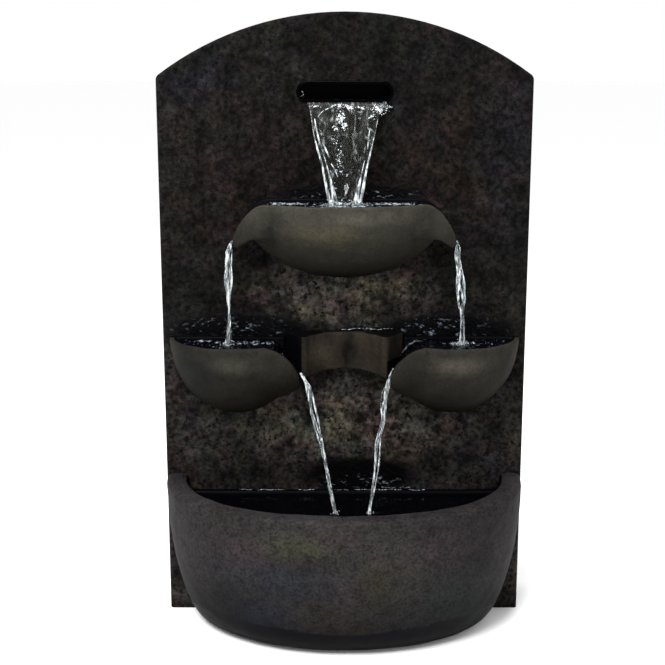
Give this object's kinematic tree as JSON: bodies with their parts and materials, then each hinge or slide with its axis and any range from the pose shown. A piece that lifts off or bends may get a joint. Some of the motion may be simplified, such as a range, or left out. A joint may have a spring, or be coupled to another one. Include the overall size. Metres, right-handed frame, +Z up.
{
  "type": "tiered garden wall fountain",
  "caption": "Arched stone-look wall fountain: a slot spills water into tiered bowls that pour down to a half-oval basin with a pump.",
  "frame": {"origin": "middle of the footprint's box, on the ground", "axes": "+Z up, the front with the basin faces -Y, +X to the right seen from the front"},
  "size_m": [0.51, 0.29, 0.853],
  "materials": {
    "slab_stone": "pitted cast stone, wax-sealed",
    "bowl_stone": "smooth cast stone, satin",
    "bridge_stone": "smooth cast stone, wet satin",
    "basin_stone": "smooth cast stone, satin",
    "spillway_plastic": "gloss",
    "cover_plastic": "matte",
    "pump_plastic": "satin",
    "rotor_plastic": "satin",
    "dial_plastic": "satin",
    "fitting_plastic": "satin",
    "hose_vinyl": "satin",
    "black_rubber": "matte",
    "steel": "brushed",
    "zinc_sheet": "zinc plated",
    "insert_brass": "machined",
    "shaft_ceramic": "polished"
  },
  "bodies": {
    "fountain": {"wall_panel": "slab_stone", "rear_cover": "cover_plastic", "rear_cover_screws": "steel", "service_hatch": "zinc_sheet", "hatch_screws": "steel", "hanger_plates": "zinc_sheet", "hanger_screws": "steel", "basin": "basin_stone", "upper_bowl": "bowl_stone", "left_bowl": "bowl_stone", "right_bowl": "bowl_stone", "bowl_bridge": "bridge_stone", "casting_bolts": "steel", "casting_washers": "steel", "threaded_inserts": "insert_brass", "spillway_box": "spillway_plastic", "spillway_cover": "spillway_plastic", "spillway_gasket": "black_rubber", "spillway_screws": "steel", "riser_hose": "hose_vinyl", "riser_elbow": "fitting_plastic", "hose_clips": "fitting_plastic", "clip_screws": "steel", "hose_clamps": "steel", "bulkhead_fitting": "fitting_plastic", "bulkhead_nut": "fitting_plastic", "bulkhead_seals": "black_rubber", "pump_hose": "hose_vinyl", "pump_body": "pump_plastic", "pump_volute": "pump_plastic", "volute_screws": "steel", "impeller_shaft": "shaft_ceramic", "shaft_bushes": "black_rubber", "suction_feet": "black_rubber", "lead_seal": "black_rubber", "lead_grommet": "black_rubber"},
    "impeller": {"impeller": "rotor_plastic"},
    "strainer": {"strainer": "pump_plastic"},
    "flow_dial": {"flow_dial": "dial_plastic"}
  },
  "joints": [
    {"name": "impeller_spin", "type": "hinge", "parent": "fountain", "child": "impeller", "pos_m": [0, 0.021, 0.048], "axis": [1, 0, 0], "continuous": true},
    {"name": "strainer_slide", "type": "slide", "parent": "fountain", "child": "strainer", "axis": [-1, 0, 0], "range_m": [0, 0.02]},
    {"name": "flow_dial_turn", "type": "hinge", "parent": "strainer", "child": "flow_dial", "pos_m": [0, 0.021, 0.048], "axis": [1, 0, 0], "range_deg": [0, 90]}
  ]
}
